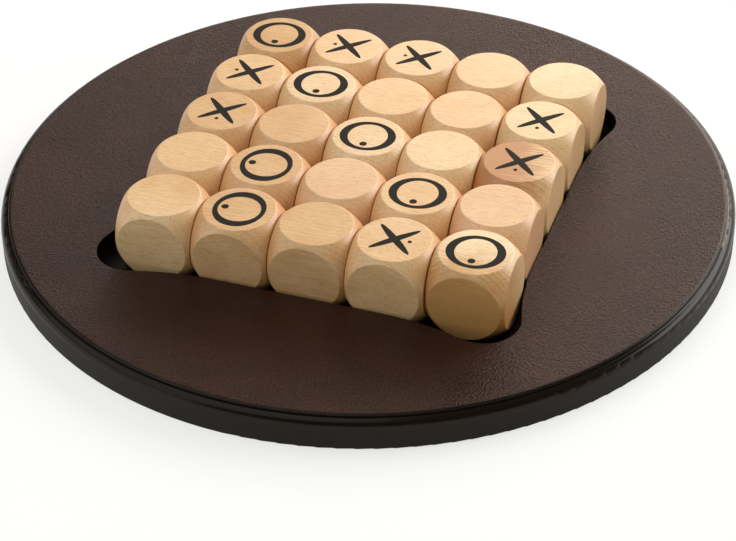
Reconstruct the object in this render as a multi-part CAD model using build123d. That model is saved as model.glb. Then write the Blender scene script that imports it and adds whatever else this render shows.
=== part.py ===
from build123d import *
import os
from math import sqrt

# Sliding cube game: a round board with a sunk square tray that holds a grid of loose cubes.
# Millimetres. Origin at the centre of the board's underside, +X along the front row to the right,
# +Y to the back, +Z up.

# The cubes
cube_edge = 28.0         # across the flats
cube_ball = 18.95        # radius of the ball that rounds off the corners and edges
cube_soften = 0.6        # radius that breaks the rim of each round flat
cells = 5                # cubes along one side of the grid
cube_gap = 0.3           # free play between neighbouring cubes

# The tray
wall_gap = 1.4           # free play between an even grid of cubes and the straight sides
tray_depth = 7.6
corner_radius = 12.7     # round corners of the tray
corner_reach = 5.3       # how far the round corners stand out past the straight sides
flare_radius = 102.0     # long arc that leads each straight side out into its corner
lip_soften = 0.4         # rounded upper edge of the tray
tray_turn = -0.7         # degrees that the tray is turned under the square of the cubes
tray_aside = (-0.7, 0.2)     # its middle, off the middle of the disc

# The board
floor_thickness = 4.4    # left under the tray
corner_land = 29.9       # from the tray's corners to the outside of the rim
rim_round = 3.0          # quarter round at the top of the rim
rim_step = 0.9           # small upright step from the quarter round to the top face
rim_soften = 0.3         # broken edge of the top face
foot_soften = 0.6        # broken edge of the underside

# How the loose cubes stand, as shares of wall_gap away from an even grid. The outer rows have more
# room than the others, because the tray widens towards its corners.
row_push = (0.5, 0.0, 0.15, 0.35, 1.15)      # each row to the right, front row first
column_push = (0.25, 0.2, 0.2, -0.3, 0.55)   # each column to the back, left column first
back_row_push = 0.35                         # the back row further back than its columns

# Worked out from the sizes above
pitch = cube_edge + cube_gap
half_side = (cells * pitch - cube_gap) / 2 + wall_gap
corner_centre = half_side + corner_reach - corner_radius
board_thickness = floor_thickness + tray_depth
board_radius = sqrt(2) * corner_centre + corner_radius + corner_land


def arc_between(centre, radius, start, end):
    """The short arc round a centre from start to end."""
    middle = (start + end) / 2 - centre
    return ThreePointArc(start, centre + middle.normalized() * radius, end)


def tray_outline():
    """Square with its sides flaring out into round corners, as one face at Z = 0."""
    # The flare is tangent to the straight side and touches the corner's circle from outside.
    across = half_side + flare_radius - corner_centre
    flare_start = corner_centre - sqrt((flare_radius + corner_radius) ** 2 - across**2)
    flare_centre = Vector(flare_start, half_side + flare_radius)
    corner = Vector(corner_centre, corner_centre)
    touch = corner + (flare_centre - corner).normalized() * corner_radius
    side_end = Vector(flare_start, half_side)

    def mirrored(point):
        return Vector(point.Y, point.X)

    quarter = [
        Line(Vector(0, half_side), side_end),
        arc_between(flare_centre, flare_radius, side_end, touch),
        arc_between(corner, corner_radius, touch, mirrored(touch)),
        arc_between(mirrored(flare_centre), flare_radius, mirrored(touch), mirrored(side_end)),
        Line(mirrored(side_end), Vector(half_side, 0)),
    ]
    return make_face([Rot(0, 0, 90 * turn) * edge for turn in range(4) for edge in quarter])


def make_board():
    """Turned disc with a stepped, rounded rim, and the tray sunk into its top."""
    top = board_thickness
    step_radius = board_radius - rim_round
    round_top = top - rim_step
    round_centre = Vector(step_radius, round_top - rim_round)
    round_start = Vector(board_radius, round_centre.Y)
    round_end = Vector(step_radius, round_top)
    profile = [
        Line((0, 0), (board_radius, 0)),
        Line((board_radius, 0), round_start),
        arc_between(round_centre, rim_round, round_start, round_end),
        Line((step_radius, round_top), (step_radius, top)),
        Line((step_radius, top), (0, top)),
        Line((0, top), (0, 0)),
    ]
    disc = revolve(Plane.XZ * make_face(profile), Axis.Z)
    edges = disc.edges().filter_by(GeomType.CIRCLE)
    top_edge = edges.group_by(Axis.Z)[-1]
    disc = fillet(top_edge, rim_soften)
    foot_edge = disc.edges().filter_by(GeomType.CIRCLE).group_by(Axis.Z)[0]
    disc = fillet(foot_edge, foot_soften)

    tray_place = Pos(*tray_aside, floor_thickness) * Rot(0, 0, tray_turn)
    tray = extrude(tray_place * tray_outline(), tray_depth)
    board = disc - tray
    # The top face is the highest; its inner wires are the tray's mouth.
    mouth = board.faces().sort_by(Axis.Z)[-1].inner_wires()[0].edges()
    return fillet(mouth, lip_soften)


def make_cube():
    """Cube on the origin, its corners and edges turned to a ball, with six round flats left."""
    cube = Box(cube_edge, cube_edge, cube_edge) & Sphere(cube_ball)
    return fillet(cube.edges().filter_by(GeomType.CIRCLE), cube_soften)


def cube_places():
    """Node name and centre of each cube. Letters run left to right, numbers front to back."""
    first = -(cells - 1) / 2 * pitch
    height = floor_thickness + cube_edge / 2
    for column in range(cells):
        for row in range(cells):
            to_right = row_push[row % len(row_push)]
            to_back = column_push[column % len(column_push)]
            if row == cells - 1:
                to_back += back_row_push
            name = f"cube_{chr(ord('a') + column)}{row + 1}"
            yield name, Pos(
                first + column * pitch + to_right * wall_gap,
                first + row * pitch + to_back * wall_gap,
                height,
            )


os.makedirs("parts", exist_ok=True)
export_step(make_board(), "parts/board.step")

cube = make_cube()
for name, place in cube_places():
    export_step(place * cube, f"parts/{name}.step")
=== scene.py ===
from math import cos, pi, radians, sin

import bpy
import numpy as np
from mathutils import Matrix, Vector


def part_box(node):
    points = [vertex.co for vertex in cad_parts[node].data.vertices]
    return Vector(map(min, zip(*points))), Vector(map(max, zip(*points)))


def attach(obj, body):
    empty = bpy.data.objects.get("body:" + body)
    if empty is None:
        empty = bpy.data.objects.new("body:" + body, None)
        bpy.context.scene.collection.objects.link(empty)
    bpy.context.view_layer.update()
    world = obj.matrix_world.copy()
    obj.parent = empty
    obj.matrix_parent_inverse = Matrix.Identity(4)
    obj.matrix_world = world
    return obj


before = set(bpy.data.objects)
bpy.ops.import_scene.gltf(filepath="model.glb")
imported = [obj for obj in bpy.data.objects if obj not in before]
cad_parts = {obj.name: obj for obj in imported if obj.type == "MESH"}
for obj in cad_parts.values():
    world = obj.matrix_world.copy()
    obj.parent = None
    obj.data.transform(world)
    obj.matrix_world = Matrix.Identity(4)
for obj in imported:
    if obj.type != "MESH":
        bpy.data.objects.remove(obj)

# Sliding cube game: a round lacquered board with a sunk square tray of loose wooden cubes.
# Metres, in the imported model's frame: +X to the right, +Y to the back, +Z up. The board and the
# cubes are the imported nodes; the printed noughts and crosses are thin shells made here.

MM = 0.001
CUBE_HALF = 14.0            # half a cube's edge, in millimetres
bpy.context.view_layer.update()

# Printed marks, in millimetres
INK_PROUD = 0.03            # how far the ink stands out of the wood
INK_SUNK = 0.02             # how far its lower side lies in the wood
NOUGHT_OUTER = (10.3, 9.3)  # half axes: the long one lies across the line to the dot
NOUGHT_INNER = (7.25, 7.6)
NOUGHT_DOT = (1.35, 5.3)    # radius, and distance from the middle
STROKE_HALF = 10.0          # half the length of a cross's stroke
STROKE_WIDE = 2.75          # at the middle
STROKE_TIP = 1.15           # just before its rounded end
CROSS_DOT = (0.75, 5.4)

# What the tops show, from the back row to the front row and from left to right: the mark, and the
# side that its dot lies to. Two dashes are a blank top.
TOPS = (
    "Of Xl Xl -- --",
    "Xl Of -- -- Xf",
    "Xf -- Of -- Xf",
    "-- Ol -- Of --",
    "-- Ol -- Xr Of",
)
SIDES = {"f": (0, -1, 0), "b": (0, 1, 0), "l": (-1, 0, 0), "r": (1, 0, 0),
         "u": (0, 0, 1), "d": (0, 0, -1)}

# Boards that the cubes were sawn from, each with its pale early wood and its deeper late wood
BOARDS = {
    "peach": ("#f0cda4", "#dcae7c"),
    "tan": ("#e8c298", "#d0a06e"),
    "pale": ("#f3d7b4", "#e2bb8c"),
    # honey is cut for e1 alone; its deep wood is dark enough to carry the painted shade on e1's front
    "honey": ("#f6dbb6", "#c9985e"),
    "cream": ("#f4dab4", "#e4bd8c"),
    "rose": ("#f0caa6", "#dfb088"),
    "russet": ("#f2d3a8", "#bb8456"),
    "brown": ("#e2ba8a", "#c6935e"),
}
# The cubes cut from each board. The rest come from the peach one.
CUT_FROM = {
    "tan": ("b3", "b1", "c1", "b2", "a3"),
    "pale": ("e5", "c3", "b4"),
    "honey": ("e1",),
    "cream": ("d3", "e4"),
    "rose": ("c2", "e2"),
    "russet": ("e3",),
    "brown": ("a5",),
}
# Cubes that deepen towards one side: heartwood on e3 and a1, and on e1 painted shade that darkens its
# front and lower faces. The shares say how much deeper the right, back and upper faces are than the
# middle. Where a share is negative, the face across from it is the deeper one.
HEARTWOOD_AND_SHADE = {"e3": (-0.7, 0.0, 0.42), "e1": (0.0, -0.7, -0.2), "a1": (0.0, 0.25, 0.0)}


def linear(colour):
    """A six-digit sRGB hex colour as linear red, green, blue and alpha."""
    part = np.array([int(colour[at:at + 2], 16) for at in (1, 3, 5)]) / 255
    part = np.where(part <= 0.04045, part / 12.92, ((part + 0.055) / 1.055) ** 2.4)
    return (*part.tolist(), 1.0)


def add(tree, kind, inputs=None, out=0, **settings):
    """Adds a node, sets its settings, fills or links its inputs, and gives one output, or the node."""
    made = tree.nodes.new("ShaderNode" + kind)
    for name, value in settings.items():
        setattr(made, name, value)
    for name, value in (inputs or {}).items():
        if isinstance(value, bpy.types.NodeSocket):
            tree.links.new(value, made.inputs[name])
        else:
            made.inputs[name].default_value = value
    return made if out is None else made.outputs[out]


def new_material(name):
    """An empty node material and its tree."""
    material = bpy.data.materials.new(name)
    material.use_nodes = True
    material.node_tree.nodes.clear()
    return material, material.node_tree


# Materials

def cube_wood(name, pale, deep, middle, turn, pith, drift, heart_and_shade):
    """Beech, sawn, ball-milled, sanded and dipped in clear satin lacquer.

    To the eye: warm pale wood with hair-fine streaks along the grain, faint growth rings that stand
    nearly upright on the end grain, tiny darker ray flecks, and a soft sheen. All patterns are
    solid, so streaks on the long sides become dots and rings on the ends. The wood deepens across
    the cube by heart_and_shade, from its middle to a face: heartwood on some cubes, and on one cube
    painted shade. Sizes in millimetres, and the shares say how strongly each pattern shows.
    """
    ring_gap, bend, bend_long, bend_wide = 1.7, 5.0, 60, 20
    fibre_long, fibre_wide = 9.0, 0.36
    fleck_long, fleck_wide, cloud = 2.2, 0.32, 11.0
    ring_share, fibre_share, cloud_share, fleck_share, end_and_corner_shade_share = 0.2, 0.65, 0.3, 0.42, 0.55
    material, tree = new_material(name)
    place = add(tree, "TexCoord", out="Object")
    place = add(tree, "VectorMath", {0: place, 1: middle}, operation="SUBTRACT")
    grain = add(tree, "Mapping", {"Vector": place, "Location": drift, "Rotation": turn,
                                  "Scale": (1 / MM,) * 3})
    apart = add(tree, "SeparateXYZ", {0: grain}, out=None)

    # Growth rings: distance from a pith line that runs along the grain, bent by a slow noise
    slow = add(tree, "Mapping", {"Vector": grain,
                                 "Scale": (1 / bend_long, 1 / bend_wide, 1 / bend_wide)})
    slow = add(tree, "TexNoise", {"Vector": slow, "Scale": 1.0, "Detail": 2.0})
    across = add(tree, "Math", {0: apart.outputs[1], 1: pith[0]}, operation="ADD")
    along = add(tree, "Math", {0: apart.outputs[2], 1: pith[1]}, operation="ADD")
    radius = add(tree, "CombineXYZ", {1: across, 2: along})
    radius = add(tree, "VectorMath", {0: radius}, out="Value", operation="LENGTH")
    radius = add(tree, "Math", {0: slow, 1: bend, 2: radius}, operation="MULTIPLY_ADD")
    phase = add(tree, "Math", {0: radius, 1: ring_gap}, operation="DIVIDE")
    phase = add(tree, "Math", {0: phase}, operation="FRACT")
    rise = add(tree, "MapRange", {"Value": phase, 1: 0.35, 2: 0.93}, interpolation_type="SMOOTHSTEP")
    fall = add(tree, "MapRange", {"Value": phase, 1: 0.93, 2: 1.0, 3: 1.0, 4: 0.0})
    ring = add(tree, "Math", {0: rise, 1: fall}, operation="MULTIPLY")

    # Fibres, ray flecks and slow clouds
    fibre = add(tree, "Mapping", {"Vector": grain,
                                  "Scale": (1 / fibre_long, 1 / fibre_wide, 1 / fibre_wide)})
    fibre = add(tree, "TexNoise", {"Vector": fibre, "Scale": 1.0, "Detail": 3.0, "Roughness": 0.6})
    fleck = add(tree, "Mapping", {"Vector": grain,
                                  "Scale": (1 / fleck_long, 1 / fleck_wide, 1 / fleck_wide)})
    fleck = add(tree, "TexNoise", {"Vector": fleck, "Scale": 1.0, "Detail": 1.0})
    fleck = add(tree, "MapRange", {"Value": fleck, 1: 0.55, 2: 0.7}, interpolation_type="SMOOTHSTEP")
    clouds = add(tree, "TexNoise", {"Vector": grain, "Scale": 1 / cloud, "Detail": 2.0})
    clouds = add(tree, "MapRange", {"Value": clouds, 1: 0.35, 2: 0.68})

    # How much late wood shows
    shade = add(tree, "Math", {0: ring, 1: ring_share}, operation="MULTIPLY")
    streak = add(tree, "MapRange", {"Value": fibre, 1: 0.33, 2: 0.7, 3: 0.0, 4: fibre_share})
    shade = add(tree, "Math", {0: shade, 1: streak}, operation="ADD")
    shade = add(tree, "Math", {0: clouds, 1: cloud_share, 2: shade}, operation="MULTIPLY_ADD")
    # Heartwood deepens e3 and a1 towards one side; on e1 the same gradient is painted shade on its front
    deeper = tuple(share / (CUBE_HALF * MM) for share in heart_and_shade)
    deeper = add(tree, "VectorMath", {0: place, 1: deeper}, out="Value", operation="DOT_PRODUCT")
    shade = add(tree, "Math", {0: shade, 1: deeper}, operation="ADD")
    colour = add(tree, "Mix", {0: shade, 6: linear(pale), 7: linear(deep)}, out=2,
                 data_type="RGBA", clamp_factor=True)
    flecked = add(tree, "Math", {0: fleck, 1: fleck_share}, operation="MULTIPLY")
    colour = add(tree, "Mix", {0: flecked, 6: colour, 7: linear("#b9804a")}, out=2, data_type="RGBA")

    # End grain drinks more lacquer, so it is deeper and warmer. The mask starts where the surface only
    # begins to face sideways, so it also paints warm shade into the corners between neighbouring cubes.
    facing = add(tree, "SeparateXYZ", {0: add(tree, "TexCoord", out="Normal")}, out=None)
    facing = add(tree, "Math", {0: facing.outputs[0]}, operation="ABSOLUTE")
    ends = add(tree, "MapRange", {"Value": facing, 1: 0.25, 2: 0.8, 3: 0.0, 4: end_and_corner_shade_share})
    warm = add(tree, "Mix", {0: 1.0, 6: colour, 7: linear("#eccba3")}, out=2,
               data_type="RGBA", blend_type="MULTIPLY")
    colour = add(tree, "Mix", {0: ends, 6: colour, 7: warm}, out=2, data_type="RGBA")

    rough = add(tree, "MapRange", {"Value": fibre, 1: 0.3, 2: 0.7, 3: 0.34, 4: 0.48})
    raised = add(tree, "Math", {0: fleck, 1: -0.6, 2: fibre}, operation="MULTIPLY_ADD")
    bump = add(tree, "Bump", {"Height": raised, "Strength": 0.35, "Distance": 0.05 * MM})
    shader = add(tree, "BsdfPrincipled", {
        "Base Color": colour, "Roughness": rough, "Normal": bump, "IOR": 1.5,
        "Coat Weight": 0.4, "Coat Roughness": 0.2, "Coat IOR": 1.5})
    add(tree, "OutputMaterial", {"Surface": shader}, out=None)
    return material


def board_lacquer():
    """Fibreboard turned on a lathe, stained and sprayed with a dark brown satin lacquer.

    To the eye: almost black with a red-brown cast, a satin gloss that lifts it to grey where a bright
    wall is mirrored, a fine orange-peel grain on the top face, and a smooth turned rim, glossy on its
    round and duller on its upright side.
    """
    peel, ripple, depth, cloud = 0.8, 0.4, 0.3, 26.0     # millimetres
    rim_radius, rim_band = 129.5, 1.2         # where the peel of the top face ends
    face_low, face_high = 11.4, 11.9          # heights that part the top face from what is lower
    tray_reach, rim_starts = 110.0, 118.0     # the tray lies within one radius, the rim past the other
    side_high, round_low = 7.8, 8.8           # heights where the matt side turns into the glossy round
    material, tree = new_material("board_lacquer_dark_brown")
    place = add(tree, "TexCoord", out="Object")
    place = add(tree, "Mapping", {"Vector": place, "Scale": (1 / MM,) * 3})
    apart = add(tree, "SeparateXYZ", {0: place}, out=None)
    flat = add(tree, "CombineXYZ", {0: apart.outputs[0], 1: apart.outputs[1]})
    radius = add(tree, "VectorMath", {0: flat}, out="Value", operation="LENGTH")
    inside = add(tree, "MapRange", {"Value": radius, 1: rim_radius, 2: rim_radius + rim_band,
                                    3: 1.0, 4: 0.0}, interpolation_type="SMOOTHSTEP")
    upper = add(tree, "MapRange", {"Value": apart.outputs[2], 1: face_low, 2: face_high})
    top = add(tree, "Math", {0: inside, 1: upper}, operation="MULTIPLY")

    pits = add(tree, "TexVoronoi", {"Vector": place, "Scale": 1 / peel, "Smoothness": 0.7},
               feature="SMOOTH_F1")
    waves = add(tree, "TexNoise", {"Vector": place, "Scale": 1 / ripple, "Detail": 2.0})
    skin = add(tree, "Math", {0: pits, 1: 0.7, 2: waves}, operation="MULTIPLY_ADD")
    relief = add(tree, "MapRange", {"Value": top, 3: 0.03, 4: 1.0})
    skin = add(tree, "Math", {0: skin, 1: relief}, operation="MULTIPLY")
    bump = add(tree, "Bump", {"Height": skin, "Strength": 1.0, "Distance": depth * MM})

    clouds = add(tree, "TexNoise", {"Vector": place, "Scale": 1 / cloud, "Detail": 3.0})
    clouds = add(tree, "MapRange", {"Value": clouds, 1: 0.35, 2: 0.65})
    colour = add(tree, "Mix", {0: clouds, 6: linear("#270f07"), 7: linear("#31160a")}, out=2,
                 data_type="RGBA")
    # Below the top face the base is darker: near black in the tray, which is painted shade, and dark
    # brown on the rim's round and side, partly the lacquer's own tone and partly painted shade.
    edge = add(tree, "MapRange", {"Value": radius, 1: tray_reach, 2: rim_starts})
    lower = add(tree, "Mix", {0: edge, 6: linear("#0d0805"), 7: linear("#18110a")}, out=2,
                data_type="RGBA")
    colour = add(tree, "Mix", {0: top, 6: lower, 7: colour}, out=2, data_type="RGBA")
    rough = add(tree, "MapRange", {"Value": waves, 1: 0.3, 2: 0.7, 3: 0.18, 4: 0.28})
    turned = add(tree, "MapRange", {"Value": apart.outputs[2], 1: side_high, 2: round_low,
                                    3: 0.55, 4: 0.18})
    rough = add(tree, "Mix", {0: top, 2: turned, 3: rough})
    shader = add(tree, "BsdfPrincipled", {
        "Base Color": colour, "Roughness": rough, "Normal": bump, "IOR": 1.5,
        "Specular IOR Level": 0.2})
    add(tree, "OutputMaterial", {"Surface": shader}, out=None)
    return material


def mark_ink():
    """Pad-printed ink, one matt coat pressed onto the lacquered wood.

    To the eye: black with a breath of green, matt, a little thin in places where the wood's grain
    kept it off.
    """
    speck = 0.5                               # millimetres
    material, tree = new_material("mark_ink_black")
    place = add(tree, "TexCoord", out="Object")
    place = add(tree, "Mapping", {"Vector": place, "Scale": (1 / MM,) * 3})
    specks = add(tree, "TexNoise", {"Vector": place, "Scale": 1 / speck, "Detail": 2.0})
    thin = add(tree, "MapRange", {"Value": specks, 1: 0.5, 2: 0.75})
    colour = add(tree, "Mix", {0: thin, 6: linear("#10120e"), 7: linear("#23251e")}, out=2,
                 data_type="RGBA")
    rough = add(tree, "MapRange", {"Value": specks, 1: 0.3, 2: 0.7, 3: 0.62, 4: 0.78})
    bump = add(tree, "Bump", {"Height": specks, "Strength": 0.3, "Distance": 0.03 * MM})
    shader = add(tree, "BsdfPrincipled", {
        "Base Color": colour, "Roughness": rough, "Normal": bump, "IOR": 1.5,
        "Specular IOR Level": 0.25})
    add(tree, "OutputMaterial", {"Surface": shader}, out=None)
    return material


# Printed marks

def closed_shell(rings, tips=None):
    """Points and faces of a closed surface through a row of closed rings.

    rings has the shape (rings, points, 3). Each ring is joined to the next by four-sided faces. With
    no tips the last ring joins the first; with tips the ends close in a fan on the two points given.
    Faces are turned over together if the volume they enclose comes out negative.
    """
    count, around = rings.shape[:2]
    index = np.arange(count * around).reshape(count, around)
    turned = np.roll(index, -1, axis=1)
    points = rings.reshape(-1, 3)
    if tips is None:
        low, high = index, np.roll(index, -1, axis=0)
        low_next, high_next = turned, np.roll(turned, -1, axis=0)
        fans = np.zeros((0, 3), int)
    else:
        low, high, low_next, high_next = index[:-1], index[1:], turned[:-1], turned[1:]
        first, last = len(points), len(points) + 1
        points = np.vstack([points, tips])
        fans = np.vstack([
            np.stack([np.full(around, first), index[0], turned[0]], 1),
            np.stack([np.full(around, last), turned[-1], index[-1]], 1)])
    quads = np.stack([low, high, high_next, low_next], -1).reshape(-1, 4)
    triangles = np.vstack([quads[:, [0, 1, 2]], quads[:, [0, 2, 3]], fans])
    a, b, c = (points[triangles[:, at]] for at in range(3))
    if np.einsum("ij,ij->", a, np.cross(b, c)) < 0:
        quads, fans = quads[:, ::-1], fans[:, ::-1]
    return points, quads.tolist() + fans.tolist()


def nought_ring(angles=96):
    """A printed ring between two ellipses.

    A section runs from the inner ellipse to the outer one: up the inner wall, over a nearly flat top
    with eased edges, down the outer wall and back underneath. It is carried round by angle.
    """
    angle = np.arange(angles) / angles * 2 * pi
    inner = np.stack([NOUGHT_INNER[0] * np.cos(angle), NOUGHT_INNER[1] * np.sin(angle)], -1)
    outer = np.stack([NOUGHT_OUTER[0] * np.cos(angle), NOUGHT_OUTER[1] * np.sin(angle)], -1)
    out = np.array([0.0, 0.0, 0.04, 0.5, 0.96, 1.0, 1.0])
    up = np.array([-INK_SUNK, 0.6 * INK_PROUD, INK_PROUD, INK_PROUD, INK_PROUD, 0.6 * INK_PROUD,
                   -INK_SUNK])
    flat = inner[:, None] + (outer - inner)[:, None] * out[None, :, None]
    height = np.broadcast_to(up[None, :, None], (angles, len(up), 1))
    return closed_shell(np.concatenate([flat, height], -1))


def ink_dot(radius, away, angles=28):
    """A round dot: rings that grow from the middle of its top, drop at the edge and end underneath."""
    angle = np.arange(angles) / angles * 2 * pi
    size = np.array([0.5, 0.93, 1.0, 1.0, 0.5]) * radius
    up = np.array([INK_PROUD, INK_PROUD, 0.6 * INK_PROUD, -INK_SUNK, -INK_SUNK])
    rings = np.stack([size[:, None] * np.cos(angle), away + size[:, None] * np.sin(angle),
                      np.broadcast_to(up[:, None], (len(up), angles))], -1)
    return closed_shell(rings, [(0, away, INK_PROUD), (0, away, -INK_SUNK)])


def cross_stroke(turn, lift, steps=40):
    """One stroke of a cross, a brush-like lens.

    Half its width at a share s of its half length is the tip's, plus the middle's surplus times the
    cosine of s times a quarter turn, all rounded off at the end by the root of one minus s to the
    twelfth power. The section is carried along the stroke, which lies at the angle turn.
    """
    share = np.sin(np.linspace(-1, 1, steps + 1)[1:-1] * pi / 2)
    half = STROKE_TIP / 2 + (STROKE_WIDE - STROKE_TIP) / 2 * np.cos(share * pi / 2)
    half = half * np.sqrt(1 - np.abs(share) ** 12)
    side = np.array([-1.0, -1.0, -0.86, 0.0, 0.86, 1.0, 1.0])
    up = lift + np.array([-INK_SUNK, 0.6 * INK_PROUD, INK_PROUD, INK_PROUD, INK_PROUD,
                          0.6 * INK_PROUD, -INK_SUNK])
    along = np.broadcast_to(share[:, None] * STROKE_HALF, (len(share), len(side)))
    across = half[:, None] * side
    height = np.broadcast_to(up, across.shape)
    end = STROKE_HALF
    tips = np.array([(-end, 0, lift), (end, 0, lift)])
    spin = np.array([(cos(turn), sin(turn), 0), (-sin(turn), cos(turn), 0), (0, 0, 1)])
    return closed_shell(np.stack([along, across, height], -1) @ spin, tips @ spin)


def printed_mark(kind):
    """All shells of one mark, its dot towards +Y and the wood's face at height 0, in millimetres."""
    if kind == "O":
        return [nought_ring(), ink_dot(*NOUGHT_DOT)]
    return [cross_stroke(pi / 4, 0.0), cross_stroke(-pi / 4, 0.008), ink_dot(*CROSS_DOT)]


def print_on(cube, kind, face, dot):
    """Prints a mark on one face of a cube, with its dot towards a side, and lets it ride on the cube."""
    low, high = (np.array(corner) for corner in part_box(cube))
    middle, half = (low + high) / 2, (high - low) / 2
    out, toward = np.array(SIDES[face], float), np.array(SIDES[dot], float)
    axes = np.array([np.cross(toward, out), toward, out])
    points, faces, used = [], [], 0
    for shell_points, shell_faces in printed_mark(kind):
        points.append(shell_points)
        faces += [[at + used for at in corner] for corner in shell_faces]
        used += len(shell_points)
    points = np.vstack(points) * MM @ axes + middle + out * np.abs(half @ out)
    word = {"O": "nought", "X": "cross"}[kind]
    mesh = bpy.data.meshes.new(f"{cube}_{word}")
    mesh.from_pydata(points.tolist(), [], faces)
    mesh.validate()
    mesh.materials.append(INK)
    piece = bpy.data.objects.new(f"{cube}_{word}", mesh)
    bpy.context.scene.collection.objects.link(piece)
    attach(piece, cube)


INK = mark_ink()
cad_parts["board"].material_slots[0].material = board_lacquer()

chance = np.random.default_rng(5)
board_of = {cell: board for board, cells in CUT_FROM.items() for cell in cells}
for row, line in zip("54321", TOPS):
    for column, mark in zip("abcde", line.split()):
        cell = column + row
        cube = "cube_" + cell
        low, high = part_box(cube)
        tone = board_of.get(cell, "peach")
        tilt = chance.uniform(-0.07, 0.07, 3)
        side = chance.choice([-1, 1])
        wood = cube_wood(
            f"beech_{tone}_{cell}", *BOARDS[tone], tuple((low + high) / 2),
            (radians(chance.uniform(-12, 12)), tilt[1], tilt[2]),
            (side * chance.uniform(45, 90), chance.uniform(-20, 20)),
            tuple(chance.uniform(-500, 500, 1).tolist()) + (0.0, 0.0),
            HEARTWOOD_AND_SHADE.get(cell, (0.0, 0.0, 0.0)))
        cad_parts[cube].material_slots[0].material = wood
        if mark != "--":
            other = "X" if mark[0] == "O" else "O"
            print_on(cube, mark[0], "u", mark[1])
            print_on(cube, other, "d", "f")
        elif column == "e":
            print_on(cube, "O", "f", "d")
            print_on(cube, "X", "b", "d")
        else:
            print_on(cube, "O", "l", "d")
            print_on(cube, "X", "r", "d")


# Studio

def softbox(name, azimuth, elevation, distance, width, height, radiance, colour):
    """A soft lamp that faces the board. Azimuth 0 stands in front and 90 to the right."""
    lamp = bpy.data.lights.new(name, "AREA")
    lamp.shape = "RECTANGLE"
    lamp.size, lamp.size_y = width, height
    lamp.energy = radiance * pi * width * height
    lamp.color = linear(colour)[:3]
    turn, rise = radians(azimuth), radians(elevation)
    back = Vector((sin(turn) * cos(rise), -cos(turn) * cos(rise), sin(rise)))
    holder = bpy.data.objects.new(name, lamp)
    holder.location = back * distance
    holder.rotation_mode = "QUATERNION"
    holder.rotation_quaternion = (-back).to_track_quat("-Z", "Y")
    holder.visible_camera = False
    bpy.context.scene.collection.objects.link(holder)


def studio_world():
    """Dim room for diffuse light, and for the camera and reflections a white wall all round under a
    dark ceiling. The wall fades between two heights, given as the sines of their elevations."""
    wall_full, wall_ends, ceiling = 0.08, 0.42, 0.07
    world = bpy.data.worlds.new("studio")
    world.use_nodes = True
    tree = world.node_tree
    tree.nodes.clear()
    path = add(tree, "LightPath", out=None)
    way = add(tree, "SeparateXYZ", {0: add(tree, "TexCoord", out="Generated")}, out=None)
    wall = add(tree, "MapRange", {"Value": way.outputs[2], 1: wall_full, 2: wall_ends,
                                  3: 1.0, 4: ceiling}, interpolation_type="SMOOTHSTEP")
    room = add(tree, "Background", {"Color": linear("#fcffe6"), "Strength": 0.36})
    backdrop = add(tree, "Background", {"Color": linear("#fffaf4"), "Strength": wall})
    shown = add(tree, "Math", {0: path.outputs["Is Camera Ray"], 1: path.outputs["Is Glossy Ray"]},
                operation="MAXIMUM")
    shown = add(tree, "Math", {0: shown, 1: path.outputs["Is Transmission Ray"]},
                operation="MAXIMUM")
    light = add(tree, "MixShader", {0: shown, 1: room, 2: backdrop})
    add(tree, "OutputWorld", {"Surface": light}, out=None)
    bpy.context.scene.world = world


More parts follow.
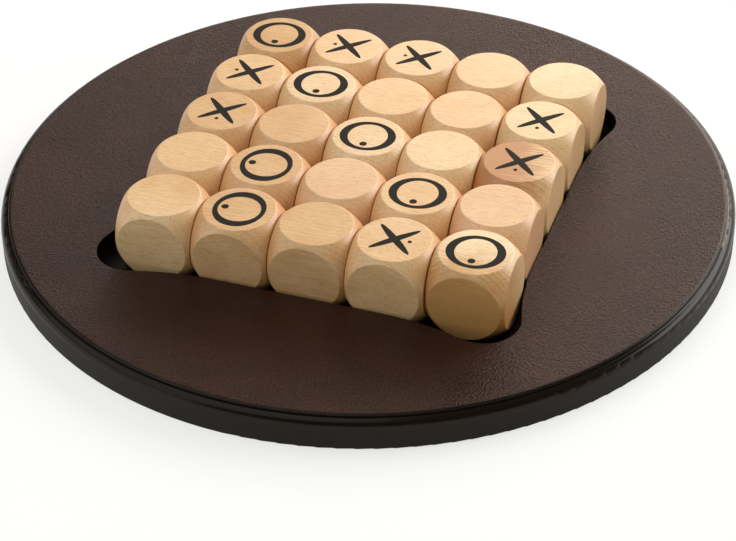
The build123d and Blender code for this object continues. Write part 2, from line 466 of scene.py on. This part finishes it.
def studio_floor():
    """Wide matt white sheet just under the board, lifted to white where it is seen or mirrored."""
    reach, drop = 4.0, 0.05 * MM
    bounce, shade, lift = 0.8, 0.34, 0.66     # shade and lift add up to white in full light
    mesh = bpy.data.meshes.new("studio_floor")
    mesh.from_pydata([(-reach, -reach, -drop), (reach, -reach, -drop), (reach, reach, -drop),
                      (-reach, reach, -drop)], [], [(0, 1, 2, 3)])
    floor = bpy.data.objects.new("studio_floor", mesh)
    bpy.context.scene.collection.objects.link(floor)
    material, tree = new_material("studio_paper_white")
    path = add(tree, "LightPath", out=None)
    seen = add(tree, "Math", {0: path.outputs["Is Camera Ray"], 1: path.outputs["Is Glossy Ray"]},
               operation="MAXIMUM")
    seen = add(tree, "Math", {0: seen, 1: path.outputs["Is Transmission Ray"]}, operation="MAXIMUM")
    paper = add(tree, "BsdfDiffuse", {"Color": (bounce, bounce, bounce, 1)})
    shown = add(tree, "BsdfDiffuse", {"Color": (shade, shade, shade, 1)})
    glow = add(tree, "Emission", {"Color": (1, 1, 1, 1), "Strength": lift})
    lifted = add(tree, "AddShader", {0: shown, 1: glow})
    surface = add(tree, "MixShader", {0: seen, 1: paper, 2: lifted})
    add(tree, "OutputMaterial", {"Surface": surface}, out=None)
    mesh.materials.append(material)


def photo_camera(azimuth, elevation, roll, distance, aim, lens):
    """A camera at the photograph's angle, looking at the point aim from azimuth and elevation."""
    turn, rise, lean = radians(azimuth), radians(elevation), radians(roll)
    back = Vector((sin(turn) * cos(rise), -cos(turn) * cos(rise), sin(rise)))
    right = Vector((0, 0, 1)).cross(back).normalized()
    up = back.cross(right)
    level = (right.copy(), up.copy())
    right = level[0] * cos(lean) + level[1] * sin(lean)
    up = level[1] * cos(lean) - level[0] * sin(lean)
    data = bpy.data.cameras.new("camera")
    data.lens, data.sensor_width, data.sensor_fit = lens, 36.0, "HORIZONTAL"
    data.clip_start, data.clip_end = 0.05, 20.0
    camera = bpy.data.objects.new("camera", data)
    place = Matrix((right, up, back)).transposed().to_4x4()
    place.translation = Vector(aim) + back * distance
    camera.matrix_world = place
    bpy.context.scene.collection.objects.link(camera)
    bpy.context.scene.camera = camera


softbox("overhead_softbox", 290, 64, 1.3, 1.5, 1.4, 0.86, "#ffffff")
softbox("fill_softbox", 300, 22, 1.5, 1.6, 1.0, 0.55, "#ffffff")
softbox("back_softbox", 182, 24, 1.5, 0.9, 0.42, 7.5, "#ffe2cc")
softbox("window_softbox", 163, 44, 1.5, 0.35, 0.22, 6.0, "#fff4ea")
softbox("right_softbox", 135, 29, 1.5, 1.5, 0.75, 5.0, "#ffffff")
studio_world()
studio_floor()
photo_camera(19.073, 36.852, -0.916, 0.74332, (0.02605, -0.07654, 0.0324), 109.389)
bpy.context.scene.view_settings.view_transform = "Standard"

bpy.context.view_layer.update()
